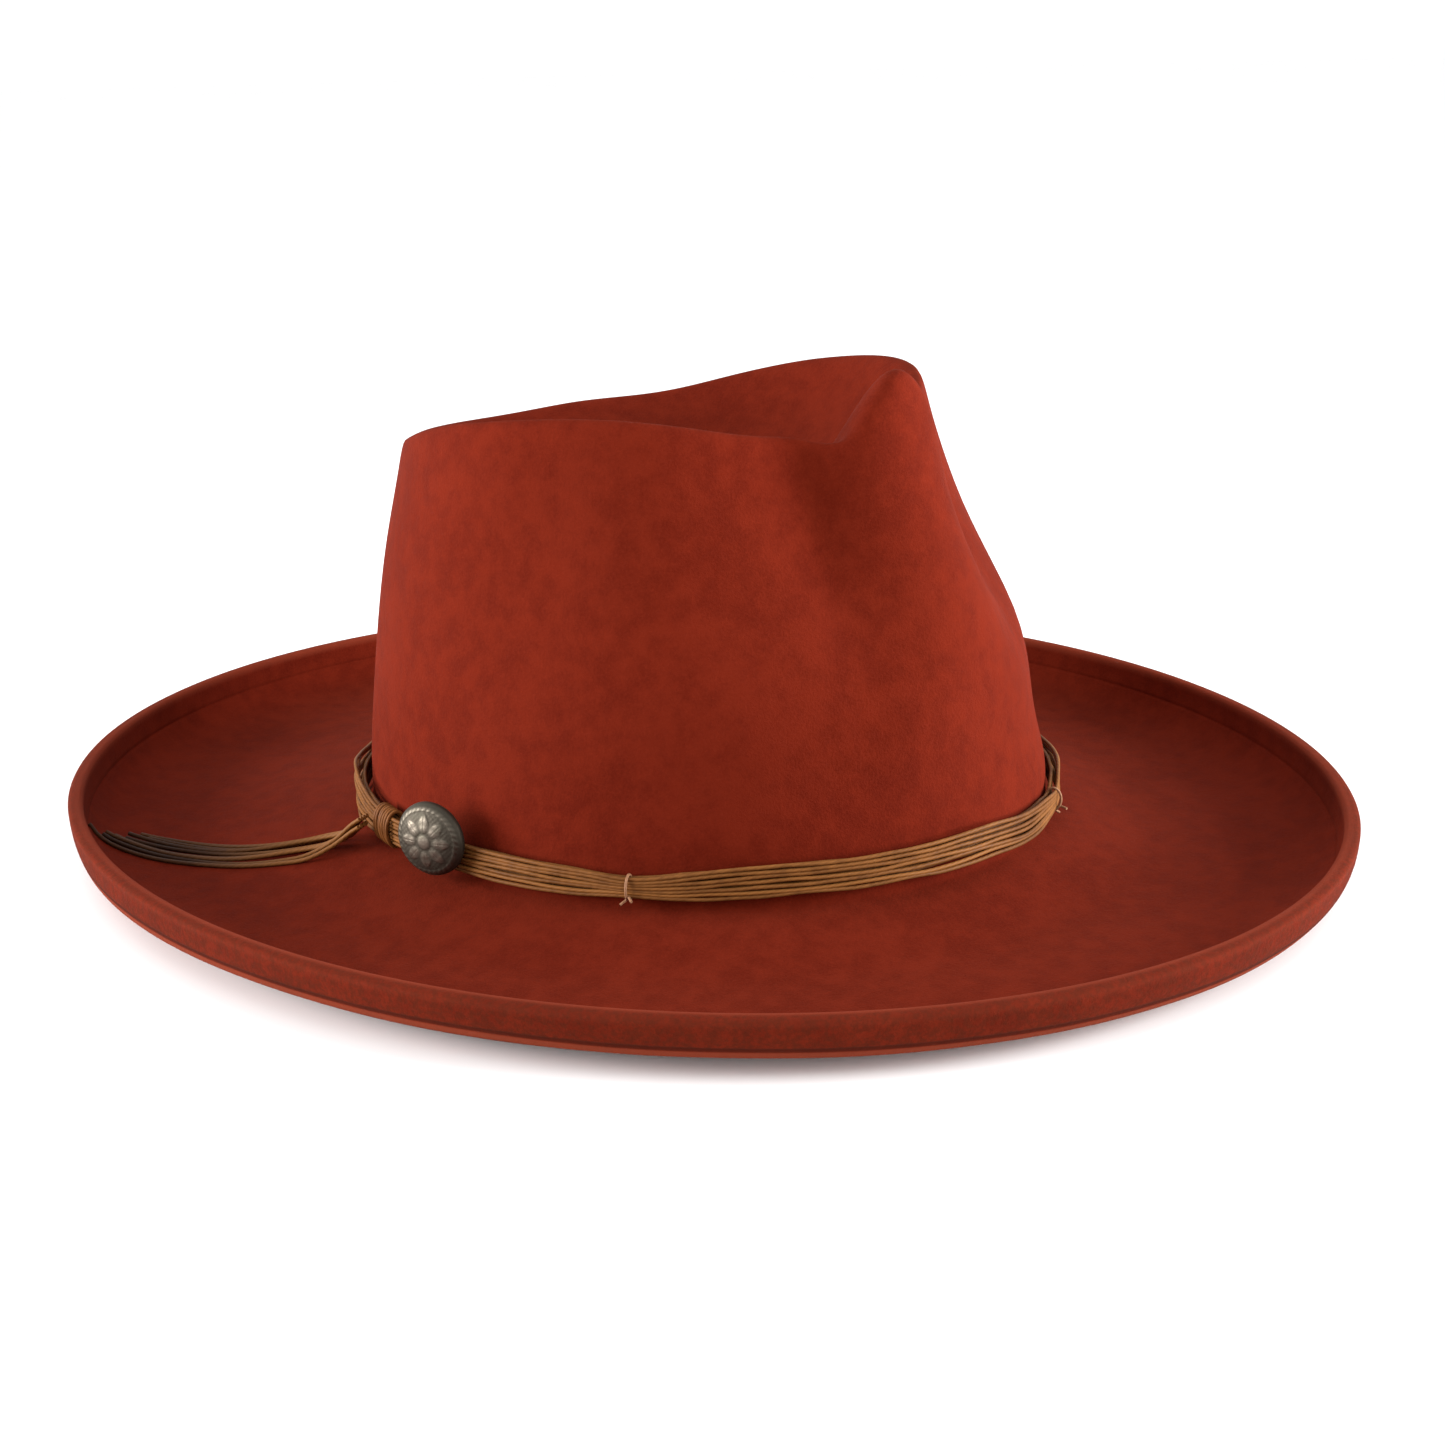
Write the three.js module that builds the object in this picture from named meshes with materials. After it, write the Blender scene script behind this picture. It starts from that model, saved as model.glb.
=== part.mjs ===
// A rancher hat: one felt shell with a pinched teardrop crown and an upturned, welted brim, a bundle
// of cord round the crown held by thread wraps, a coiled knot, a domed button and the cord's loose
// tails. Millimetres, +Z up, front towards -Y, the wearer's right towards -X. The origin is the
// middle of the brim's oval on the surface that the hat rests on.

import * as THREE from 'three';

// Driving sizes of the felt.
const feltThickness = 2.2;
const brimHalfLength = 188.3;
const brimHalfWidth = 166.5;
const brimLift = 16.8;
const brimRestInset = 26;
const restSink = 0.7;

// Towards the front the brim's curl is wider and lower, by these shares.
const frontFlareRatio = 0.4;
const frontDropRatio = 0.14;

const weltWidth = 8;
const baseBend = 6;
const crownHalfLength = 101.5;
const crownHalfWidth = 92.6;
const crownForward = 4.5;
const crownHeight = 125;
const bandHeight = 11.3;
const hollowDepth = 41;

// The crown's edge is rounder at the nose: a share of the base oval's radius, and how far round in
// degrees it reaches.
const noseRatio = 0.04;
const noseAngle = 22;

// Driving sizes of the trimmings.
const bundleThickness = 3.2;
const bundleWidth = 7.5;
const bundleRise = 2.2;
const threadDiameter = 0.7;
const coilDiameter = 1.3;
const coilTurns = 8;
const coilRise = 0.2;
const coilWidth = 11.5;
const buttonDiameter = 20;
const buttonDome = 5;
const buttonEdge = 1.2;
const buttonRise = 5.8;
const shankDiameter = 9;
const shankLength = 2.6;
const tailDiameter = 5;
const clearance = 0.3;

// The crown's top edge, from the front round to the back. The angle is that of the base oval, in
// degrees. The reach is a share of the base oval's radius, the height a share of crownHeight.
const rimColumns = ['angle', 'reach', 'height'];
const rim = [
  [0, 0.7, 1.0],
  [8, 0.705, 0.954],
  [16, 0.7, 0.87],
  [26, 0.612, 0.876],
  [40, 0.629, 0.89],
  [70, 0.739, 0.933],
  [100, 0.819, 0.91],
  [135, 0.838, 0.826],
  [160, 0.846, 0.802],
  [180, 0.875, 0.791],
];

// The crown's wall between its base and its top edge. The height is a share of the wall's own
// height, and the lean the share of the way in to the top edge, at the front and at the back.
const wall = [
  { height: 0.7, frontLean: 0.69, backLean: 0.49 },
  { height: 0.45, frontLean: 0.14, backLean: 0.25 },
  { height: 0.24, frontLean: 0.13, backLean: 0.07 },
];

// Dents pressed into the wall. Angles are in degrees from the front, towards the wearer's right;
// the height and its spread are shares of crownHeight, the depth a share of crownHalfWidth.
const dents = [
  { angle: 22, height: 0.72, depth: 0.042, angleSpread: 10, heightSpread: 0.17 },
  { angle: -22, height: 0.72, depth: 0.042, angleSpread: 10, heightSpread: 0.17 },
  { angle: 79, height: 0.72, depth: 0.02, angleSpread: 10, heightSpread: 0.15 },
];

// A row of a table at any angle, on a smooth curve through the column's values.
function tableValue(table, columns, name, angle) {
  const column = columns.indexOf(name);
  let row = 0;
  while (row < table.length - 2 && table[row + 1][0] <= angle) row += 1;
  const slope = (at) => {
    if (at === 0 || at === table.length - 1) return 0;
    return (table[at + 1][column] - table[at - 1][column]) / (table[at + 1][0] - table[at - 1][0]);
  };
  const span = table[row + 1][0] - table[row][0];
  const share = (angle - table[row][0]) / span;
  const [square, cube] = [share ** 2, share ** 3];
  return (2 * cube - 3 * square + 1) * table[row][column]
    + (cube - 2 * square + share) * span * slope(row)
    + (3 * square - 2 * cube) * table[row + 1][column]
    + (cube - square) * span * slope(row + 1);
}

const baseOval = (angle) => new THREE.Vector2(
  -crownHalfWidth * Math.sin(angle),
  -crownHalfLength * Math.cos(angle),
);

const brimOval = (angle) => new THREE.Vector2(
  -brimHalfWidth * Math.sin(angle),
  -brimHalfLength * Math.cos(angle) + crownForward,
);

// The turn from one angle to another in degrees, the short way round.
const fullTurn = 360;

function turnBetween(from, to) {
  return THREE.MathUtils.euclideanModulo(to - from + fullTurn / 2, fullTurn) - fullTurn / 2;
}

// How far the dents push the wall in, in millimetres.
function dentDepth(angle, height) {
  let depth = 0;
  for (const dent of dents) {
    const turn = turnBetween(dent.angle, THREE.MathUtils.radToDeg(angle));
    const across = turn / dent.angleSpread;
    const up = (height / crownHeight - dent.height) / dent.heightSpread;
    depth += dent.depth * crownHalfWidth * Math.exp(-across * across - up * up);
  }
  return depth;
}

// The control points of the felt's upper face, from the middle of the crown's hollow out to the
// brim's edge, in the plane that holds the given angle of the base oval. Heights are above the
// resting surface. The crown's axis is the local origin; the shell is moved back at the end.
function feltSection(angle) {
  const degrees = THREE.MathUtils.radToDeg(Math.abs(angle));
  const reach = tableValue(rim, rimColumns, 'reach', degrees);
  const wallHeight = tableValue(rim, rimColumns, 'height', degrees) * crownHeight;
  const rimZ = bandHeight + wallHeight;
  const hollowZ = bandHeight + crownHeight - hollowDepth;
  const base = baseOval(angle);
  const edge = brimOval(angle);
  const outward = edge.clone().sub(base);
  const brimWidth = outward.length();
  outward.normalize();
  const front = (1 + Math.cos(angle)) / 2;
  const inset = brimRestInset * (1 + frontFlareRatio * front ** 3);
  const lift = brimLift * (1 - frontDropRatio * front ** 3);
  const flatStart = brimWidth - 1.5 * inset;
  const points = [];

  const onCrown = (share, z) => {
    const dent = share > 0.5 * reach ? dentDepth(angle, z - bandHeight) : 0;
    const radius = Math.max(base.length() * share - dent, 0);
    points.push(new THREE.Vector3(base.x / base.length() * radius, base.y / base.length() * radius, z));
  };
  const onBrim = (distance, z) => {
    points.push(new THREE.Vector3(base.x + outward.x * distance, base.y + outward.y * distance, z));
  };

  const rimRise = rimZ - hollowZ;
  const soft = noseRatio * Math.exp(-((degrees / noseAngle) ** 2));
  onCrown(0, hollowZ);
  onCrown(0.3 * reach, hollowZ);
  onCrown(0.62 * reach, hollowZ + 0.1 * rimRise);
  onCrown(reach - 0.14 - soft, hollowZ + 0.55 * rimRise);
  onCrown(reach - 0.055 - 0.5 * soft, rimZ - 0.024 * crownHeight);
  onCrown(reach + 0.005, rimZ + 0.013 * crownHeight);
  onCrown(reach + 0.022 + 0.3 * soft, rimZ - (0.064 + 0.5 * soft) * crownHeight);
  for (const { height, frontLean, backLean } of wall) {
    const lean = frontLean * front + backLean * (1 - front);
    onCrown(1 + (reach - 1) * lean, bandHeight + wallHeight * height);
  }
  onCrown(1, bandHeight + 1.6 * bundleWidth);
  onCrown(1, bandHeight + 0.5 * bundleWidth);
  onCrown(1, bandHeight - 0.17 * baseBend);
  onBrim(0.25 * baseBend, bandHeight - 0.43 * baseBend);
  onBrim(baseBend, bandHeight - 0.53 * baseBend);
  onBrim((baseBend + flatStart) / 2, feltThickness + 0.22 * bandHeight);
  onBrim(flatStart, feltThickness - restSink);
  onBrim(brimWidth - 1.1 * inset, feltThickness - restSink);
  onBrim(brimWidth - 0.72 * inset, feltThickness - restSink);
  onBrim(brimWidth - 0.42 * inset, feltThickness + 0.02 * lift);
  onBrim(brimWidth - 0.17 * inset, feltThickness + 0.14 * lift);
  onBrim(brimWidth - 0.01 * inset, feltThickness + 0.42 * lift);
  onBrim(brimWidth, lift);
  return points;
}

// The felt's upper face on one section, as rows of a smooth curve that follows the control points.
// A tight bend takes more rows.
const tightSpans = [4, 5, 6, 13, 21, 22, 23];

function curveRows(control) {
  const first = control[0];
  const last = control[control.length - 1];
  const points = [first, first, ...control, last, last];
  const rows = [];
  for (let span = 0; span + 3 < points.length; span += 1) {
    const steps = tightSpans.includes(span) ? 2 : 1;
    for (let step = 0; step < steps; step += 1) {
      rows.push(curvePoint(points.slice(span, span + 4), step / steps));
    }
  }
  rows.push(last.clone());
  return rows;
}

function curvePoint(four, t) {
  const weights = [
    (1 - t) ** 3,
    3 * t ** 3 - 6 * t ** 2 + 4,
    -3 * t ** 3 + 3 * t ** 2 + 3 * t + 1,
    t ** 3,
  ];
  const point = new THREE.Vector3();
  four.forEach((corner, index) => point.addScaledVector(corner, weights[index] / 6));
  return point;
}

// A closed mesh from shared points and triangles.
function meshGeometry(points, triangles) {
  const geometry = new THREE.BufferGeometry();
  const places = points.flatMap((point) => point.toArray());
  geometry.setAttribute('position', new THREE.Float32BufferAttribute(places, 3));
  geometry.setIndex(triangles);
  return geometry;
}

// Two triangles for each cell between neighbouring rings of points.
function stitchRings(triangles, from, to, count, flip) {
  for (let i = 0; i < count; i += 1) {
    const j = (i + 1) % count;
    const [a, b, c, d] = [from + i, from + j, to + j, to + i];
    if (flip) triangles.push(a, c, b, a, d, c);
    else triangles.push(a, b, c, a, c, d);
  }
}

// Felt: the upper face, and under it the same face set in by the felt's thickness. The last stretch
// before the brim's edge is folded back on itself, so it is two layers thick.
const feltColumns = 72;
const frontCrowdingRatio = 0.35;
const foldRows = 6;

function feltBody() {
  const sections = [];
  for (let i = 0; i < feltColumns; i += 1) {
    const even = 2 * Math.PI * i / feltColumns;
    const turn = even - frontCrowdingRatio * Math.sin(even);
    sections.push(curveRows(feltSection(turn > Math.PI ? turn - 2 * Math.PI : turn)));
  }
  const rowCount = sections[0].length;
  const upper = [sections[0][0].clone()];
  for (let row = 1; row < rowCount; row += 1) {
    for (const section of sections) upper.push(section[row].clone());
  }
  const ring = (row) => 1 + (row - 1) * feltColumns;
  const upperTriangles = [];
  for (let i = 0; i < feltColumns; i += 1) {
    upperTriangles.push(0, 1 + (i + 1) % feltColumns, 1 + i);
  }
  for (let row = 1; row < rowCount - 1; row += 1) {
    stitchRings(upperTriangles, ring(row), ring(row + 1), feltColumns, false);
  }
  const face = meshGeometry(upper, upperTriangles);
  face.computeVertexNormals();
  const normals = face.getAttribute('normal');
  const lower = upper.map((point, index) => {
    const row = index === 0 ? 0 : 1 + Math.floor((index - 1) / feltColumns);
    const folded = row > 0 && point.z > brimLift - weltWidth && row > rowCount - foldRows;
    const depth = folded ? 1.9 * feltThickness : feltThickness;
    const normal = new THREE.Vector3().fromBufferAttribute(normals, index);
    const inner = point.clone().addScaledVector(normal, -depth);
    inner.z = Math.max(inner.z, 0);
    return inner;
  });
  const points = [...upper, ...lower];
  const triangles = [...upperTriangles];
  const shift = upper.length;
  for (let i = 0; i < upperTriangles.length; i += 3) {
    const [a, b, c] = upperTriangles.slice(i, i + 3);
    triangles.push(a + shift, c + shift, b + shift);
  }
  const topEdge = ring(rowCount - 1);
  const crest = points.length;
  for (let i = 0; i < feltColumns; i += 1) {
    const between = upper[topEdge + i].clone().add(lower[topEdge + i]).multiplyScalar(0.5);
    between.z += 0.4 * feltThickness;
    points.push(between);
  }
  stitchRings(triangles, topEdge, crest, feltColumns, false);
  stitchRings(triangles, crest, topEdge + shift, feltColumns, false);
  const geometry = meshGeometry(points, triangles);
  geometry.translate(0, -crownForward, 0);
  return geometry;
}

// Places round the crown. The angle is that of the base oval in degrees from the front, positive
// towards the wearer's right; the offset is the distance out from the crown's wall.
function crownFrame(degrees, offset, z) {
  const angle = THREE.MathUtils.degToRad(degrees);
  const base = baseOval(angle);
  const across = -crownHalfLength * Math.sin(angle);
  const out = new THREE.Vector3(across, -crownHalfWidth * Math.cos(angle), 0).normalize();
  const along = new THREE.Vector3(0, 0, 1).cross(out);
  const place = new THREE.Vector3(base.x, base.y - crownForward, z).addScaledVector(out, offset);
  return { place, out, along };
}

// The cord bundle stands off the wall so that the thread wraps pass behind it, and a little
// further at the knot, where the thicker coil does.
const knotAngle = 109;
const knotReachAngle = 14;

function bundleMiddle(degrees) {
  const fromKnot = turnBetween(knotAngle, degrees);
  const extra = coilDiameter - threadDiameter + clearance;
  const share = Math.exp(-((fromKnot / knotReachAngle) ** 2));
  return threadDiameter + 2 * clearance + extra * share + bundleThickness / 2;
}

// The bundle sits higher in front: the middle of that stretch, and how far it reaches.
const riseAngle = 25;
const riseReachAngle = 28;

function bundleLevel(degrees) {
  const turn = turnBetween(riseAngle, degrees) / riseReachAngle;
  return bandHeight + bundleWidth / 2 + bundleRise * Math.exp(-(turn ** 6));
}

// A place on the bundle's middle line, moved out by an offset and up by a rise.
function onBundle(degrees, offset = 0, rise = 0) {
  return crownFrame(degrees, bundleMiddle(degrees) + offset, bundleLevel(degrees) + rise);
}

// A closed outline of the bundle's section, grown by a margin.
function bundleOutline(margin, corners) {
  const outline = [];
  for (let i = 0; i < corners; i += 1) {
    const turn = 2 * Math.PI * (i + 0.5) / corners;
    outline.push(new THREE.Vector2(
      (bundleThickness / 2 + margin) * Math.cos(turn),
      (bundleWidth / 2 + margin) * Math.sin(turn),
    ));
  }
  return outline;
}

// Hat band: the bundle of cords as one ring round the crown.
const bandSteps = 72;
const bandCorners = 10;

function hatBand() {
  const outline = bundleOutline(0, bandCorners);
  const points = [];
  const triangles = [];
  for (let step = 0; step < bandSteps; step += 1) {
    const degrees = fullTurn * step / bandSteps;
    const { place, out } = onBundle(degrees);
    for (const corner of outline) {
      points.push(place.clone().addScaledVector(out, corner.x).setZ(place.z + corner.y));
    }
  }
  for (let step = 0; step < bandSteps; step += 1) {
    const next = (step + 1) % bandSteps;
    stitchRings(triangles, step * outline.length, next * outline.length, outline.length, false);
  }
  return meshGeometry(points, triangles);
}

// A sleeve round the bundle: a ring with an outline, a gap to the bundle and a length along it.
function bundleSleeve(degrees, outline, gap, length) {
  const shape = new THREE.Shape(outline);
  shape.holes.push(new THREE.Path(bundleOutline(gap, outline.length)));
  const geometry = new THREE.ExtrudeGeometry(shape, { depth: length, bevelEnabled: false });
  geometry.translate(0, 0, -length / 2);
  const { place, out, along } = onBundle(degrees);
  const basis = new THREE.Matrix4().makeBasis(out, new THREE.Vector3(0, 0, 1), along.clone().negate());
  geometry.applyMatrix4(basis.setPosition(place));
  return geometry;
}

// Button: a domed disc on a plain shank that meets the bundle.
function buttonBody() {
  const radius = buttonDiameter / 2;
  const profile = [new THREE.Vector2(0, -shankLength)];
  profile.push(new THREE.Vector2(shankDiameter / 2, -shankLength));
  profile.push(new THREE.Vector2(shankDiameter / 2, 0));
  profile.push(new THREE.Vector2(radius - buttonEdge / 2, 0));
  profile.push(new THREE.Vector2(radius, buttonEdge / 2));
  const domeSteps = 7;
  for (let step = 0; step <= domeSteps; step += 1) {
    const turn = Math.PI / 2 * step / domeSteps;
    const rise = buttonEdge + (buttonDome - buttonEdge) * Math.sin(turn);
    profile.push(new THREE.Vector2(radius * Math.cos(turn), rise));
  }
  profile[profile.length - 1].x = 0;
  const geometry = new THREE.LatheGeometry(profile, 28);
  return geometry.rotateZ(Math.PI);
}

// The tails: the bundle's loose end, out of the knot and back over the brim. The points are a list
// chosen by hand, in the part's own frame.
const tailRoute = [
  [-94.8, 36.8, 15.8],
  [-95.4, 38.8, 14.4],
  [-96.0, 41.2, 12.7],
  [-96.6, 43.9, 11.1],
  [-97.4, 47.0, 10.0],
  [-98.7, 50.4, 9.2],
  [-100.6, 53.9, 8.6],
  [-102.9, 57.4, 7.9],
  [-105.4, 61.0, 7.2],
  [-108.1, 65.1, 6.4],
  [-110.9, 69.8, 5.7],
  [-113.7, 75.0, 5.2],
  [-116.3, 80.6, 4.9],
  [-118.7, 86.6, 4.8],
  [-120.7, 92.8, 4.9],
  [-122.3, 99.2, 5.2],
  [-123.7, 105.0, 5.9],
  [-124.9, 109.4, 7.1],
];
const tailSteps = 17;

function tailBundle() {
  const path = new THREE.CatmullRomCurve3(tailRoute.map((place) => new THREE.Vector3(...place)));
  const corners = [];
  for (let i = 0; i < 8; i += 1) {
    const turn = Math.PI / 4 * (i + 0.5);
    corners.push(new THREE.Vector2(Math.cos(turn), Math.sin(turn)).multiplyScalar(tailDiameter / 2));
  }
  const options = { steps: tailSteps, bevelEnabled: false, extrudePath: path };
  return new THREE.ExtrudeGeometry(new THREE.Shape(corners), options);
}

const felt = new THREE.MeshStandardMaterial({ color: 0x9c2f1c, roughness: 0.95, metalness: 0 });
const cord = new THREE.MeshStandardMaterial({ color: 0x7a4d24, roughness: 0.6, metalness: 0 });
const thread = new THREE.MeshStandardMaterial({ color: 0xa5652c, roughness: 0.6, metalness: 0 });
const pewter = new THREE.MeshStandardMaterial({ color: 0x4a4844, roughness: 0.45, metalness: 0.85 });

const hat = new THREE.Group();

function addPiece(name, geometry, material) {
  const mesh = new THREE.Mesh(geometry, material);
  mesh.name = name;
  hat.add(mesh);
  return mesh;
}

addPiece('felt_body', feltBody(), felt);
addPiece('hat_band', hatBand(), cord);

const wrapAngles = [62, -22, -112, -160];
const wrapCorners = 10;
const wrapGap = 1.5 * clearance;
const wrapOutline = bundleOutline(wrapGap + threadDiameter, wrapCorners);
wrapAngles.forEach((degrees, index) => {
  const sleeve = bundleSleeve(degrees, wrapOutline, wrapGap, 2 * threadDiameter);
  addPiece(`band_wrap_${index + 1}`, sleeve, thread);
});

// The coil also holds the tails' root, so it stands higher than the bundle.
const coilCorners = 14;
const coilGap = 2 * clearance;
const coilOutline = bundleOutline(coilGap + coilDiameter, coilCorners);
for (const corner of coilOutline) {
  corner.y = coilRise + corner.y * coilWidth / (bundleWidth + 2 * (coilGap + coilDiameter));
}
const coil = bundleSleeve(knotAngle, coilOutline, coilGap, coilTurns * coilDiameter);
addPiece('knot_coil', coil, cord);

// The button hangs a little turned, with its face towards the front.
const buttonAngle = 93;
const buttonTurnAngle = 17;
const buttonBack = bundleThickness / 2 + 2 * clearance + shankLength;
const buttonSeat = onBundle(buttonAngle, buttonBack, buttonRise);
const button = addPiece('button', buttonBody(), pewter);
button.position.copy(buttonSeat.place);
button.rotation.z = Math.atan2(buttonSeat.out.x, -buttonSeat.out.y)
  + THREE.MathUtils.degToRad(buttonTurnAngle);

addPiece('tail_bundle', tailBundle(), cord);

export default hat;
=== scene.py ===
import math
import random

import bpy
import numpy as np
from mathutils import Matrix, Vector
from mathutils.bvhtree import BVHTree


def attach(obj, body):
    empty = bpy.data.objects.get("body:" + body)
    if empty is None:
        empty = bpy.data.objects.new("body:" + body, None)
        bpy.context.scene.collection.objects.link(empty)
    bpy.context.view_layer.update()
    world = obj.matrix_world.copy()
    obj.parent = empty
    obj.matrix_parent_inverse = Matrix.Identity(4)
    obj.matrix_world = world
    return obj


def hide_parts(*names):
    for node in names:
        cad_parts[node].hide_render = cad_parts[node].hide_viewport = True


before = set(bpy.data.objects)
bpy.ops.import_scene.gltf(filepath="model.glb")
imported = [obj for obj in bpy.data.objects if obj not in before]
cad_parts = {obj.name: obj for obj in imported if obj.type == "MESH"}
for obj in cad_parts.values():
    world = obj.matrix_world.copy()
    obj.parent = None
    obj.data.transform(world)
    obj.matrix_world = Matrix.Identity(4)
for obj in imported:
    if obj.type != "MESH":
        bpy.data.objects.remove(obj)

# The hat is measured in millimetres here, as in the part's source, and turned to metres in its
# meshes. Lamps, textures and bumps are in metres.
mm = 0.001
upward = Vector((0, 0, 1))
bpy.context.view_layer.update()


class Wire:  # one value in a node tree, so that maths on it reads as maths
    def __init__(self, graph, socket):
        self.graph = graph
        self.socket = socket

    def __add__(self, other):
        return self.graph.maths("ADD", self, other)

    def __radd__(self, other):
        return self.graph.maths("ADD", other, self)

    def __sub__(self, other):
        return self.graph.maths("SUBTRACT", self, other)

    def __rsub__(self, other):
        return self.graph.maths("SUBTRACT", other, self)

    def __mul__(self, other):
        return self.graph.maths("MULTIPLY", self, other)

    def __rmul__(self, other):
        return self.graph.maths("MULTIPLY", other, self)

    def __truediv__(self, other):
        return self.graph.maths("DIVIDE", self, other)

    def __rtruediv__(self, other):
        return self.graph.maths("DIVIDE", other, self)

    def over(self, limit):  # 1 above the limit, 0 below
        return self.graph.maths("GREATER_THAN", self, limit)

    def part(self, name):  # another output of the same node
        return Wire(self.graph, self.socket.node.outputs[name])


class Graph:  # a shader tree or a geometry tree
    def __init__(self, tree):
        self.tree = tree

    def node(self, kind, settings=None, sockets=None, output=0):
        made = self.tree.nodes.new(kind)
        for name, value in (settings or {}).items():
            setattr(made, name, value)
        for name, value in (sockets or {}).items():
            self.feed(made.inputs[name], value)
        return Wire(self, made.outputs[output]) if len(made.outputs) else None

    def feed(self, socket, value):
        if isinstance(value, Wire):
            self.tree.links.new(value.socket, socket)
        else:
            socket.default_value = value

    def maths(self, operation, first, second=0.0):
        return self.node("ShaderNodeMath", {"operation": operation}, {0: first, 1: second})

    def vector(self, operation, first, second=(0, 0, 0)):
        return self.node("ShaderNodeVectorMath", {"operation": operation}, {0: first, 1: second})

    def scaled(self, vector, factor):
        return self.node("ShaderNodeVectorMath", {"operation": "SCALE"},
                         {0: vector, "Scale": factor})

    def stored(self, geometry, name, value, kind="FLOAT", domain="POINT"):
        return self.node("GeometryNodeStoreNamedAttribute", {"data_type": kind, "domain": domain},
                         {"Geometry": geometry, "Name": name, "Value": value})

    def named(self, name):
        return self.node("GeometryNodeInputNamedAttribute", {"data_type": "FLOAT"}, {"Name": name})


class Finish(Graph):  # a material on the principled shader
    def __init__(self, name, **constants):
        self.material = bpy.data.materials.new(name)
        self.material.use_nodes = True
        super().__init__(self.material.node_tree)
        self.shader = self.tree.nodes["Principled BSDF"]
        self.wear(**constants)

    def stepped(self, value, low, high):  # a smooth 0 to 1 between two values
        return self.node("ShaderNodeMapRange", {"interpolation_type": "SMOOTHSTEP"},
                         {"Value": value, "From Min": low, "From Max": high})

    def mixed(self, factor, first, second):
        sockets = {0: factor, 6: first, 7: second}
        return self.node("ShaderNodeMix", {"data_type": "RGBA"}, sockets, 2)

    def noise(self, scale, detail, roughness=0.5):
        spot = self.node("ShaderNodeTexCoord").part("Object")
        return self.node("ShaderNodeTexNoise", None, {
            "Vector": spot, "Scale": scale, "Detail": detail, "Roughness": roughness})

    def attribute(self, name):
        return self.node("ShaderNodeAttribute", {"attribute_name": name}, None, "Fac")

    def bump(self, height, strength, distance, under=None):
        sockets = {"Height": height, "Strength": strength, "Distance": distance}
        if under:
            sockets["Normal"] = under
        return self.node("ShaderNodeBump", None, sockets)

    def wear(self, **inputs):
        for key, value in inputs.items():
            self.feed(self.shader.inputs[key.replace("_", " ")], value)
        return self.material


def rgba(colour):
    return (*colour, 1)


# The camera was fitted to the photograph. Its right side and its back are directions.
camera = {
    "place": (-0.44252, -0.4014, 0.21162),
    "right": (0.6552, -0.7551, -0.0239),
    "back": (-0.7170, -0.6315, 0.2951),
    "lens": 53.156,
    "sensor": 36,
}


def placeCamera():
    data = bpy.data.cameras.new("camera")
    data.lens = camera["lens"]
    data.sensor_width = camera["sensor"]
    seen = bpy.data.objects.new("camera", data)
    back = Vector(camera["back"]).normalized()
    up = back.cross(Vector(camera["right"]).normalized()).normalized()
    turn = Matrix((up.cross(back), up, back)).transposed().to_4x4()
    seen.matrix_world = Matrix.Translation(camera["place"]) @ turn
    bpy.context.scene.collection.objects.link(seen)
    bpy.context.scene.camera = seen


light = {
    "lamps": {
        "left": {"place": (-1.17, 0.98, 0.32), "size": (1.0, 0.8), "power": 48},
        "right": {"place": (0.86, -1.27, 0.34), "size": (1.0, 0.8), "power": 60},
    },
    "aim": (0, 0, 0.05),  # the place that both lamps face
    "world": (1, 1, 1),
    "worldStrength": 1.02,
}


def placeLights():
    for name, lamp in light["lamps"].items():
        data = bpy.data.lights.new(name, "AREA")
        data.shape = "RECTANGLE"
        data.size, data.size_y = lamp["size"]
        data.energy = lamp["power"]
        made = bpy.data.objects.new(name, data)
        place = Vector(lamp["place"])
        facing = (place - Vector(light["aim"])).to_track_quat("Z", "Y")
        made.matrix_world = Matrix.Translation(place) @ facing.to_matrix().to_4x4()
        bpy.context.scene.collection.objects.link(made)
    world = bpy.data.worlds.new("studio")
    world.use_nodes = True
    shine = world.node_tree.nodes["Background"]
    shine.inputs["Color"].default_value = rgba(light["world"])
    shine.inputs["Strength"].default_value = light["worldStrength"]
    bpy.context.scene.world = world
    bpy.context.scene.view_settings.view_transform = "Standard"


placeCamera()
placeLights()
print("camera and lights placed")


def meshObject(name, points, faces, material, smooth=True):
    mesh = bpy.data.meshes.new(name)
    mesh.from_pydata([tuple(point) for point in points], [], faces)
    mesh.materials.append(material)
    mesh.polygons.foreach_set("use_smooth", [smooth] * len(mesh.polygons))
    mesh.update()
    made = bpy.data.objects.new(name, mesh)
    bpy.context.scene.collection.objects.link(made)
    return made


def addValues(made, name, values):  # one number for each point, which the material reads
    made.data.attributes.new(name, "FLOAT", "POINT").data.foreach_set("value", values)


def ringFaces(start, nextStart, count):
    return [(start + i, start + (i + 1) % count, nextStart + (i + 1) % count, nextStart + i)
            for i in range(count)]


def turnFrom(degrees, angle):  # the turn between two angles, the short way round
    return (degrees - angle + 180) % 360 - 180


def bell(distance, reach, power=2):  # 1 in the middle, fading to 0 beyond the reach
    return math.exp(-((distance / reach) ** power))


def clamped(value):
    return min(max(value, 0), 1)


def eased(share):  # 0 to 1, with a soft start and end
    held = clamped(share)
    return held * held * (3 - 2 * held)


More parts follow.
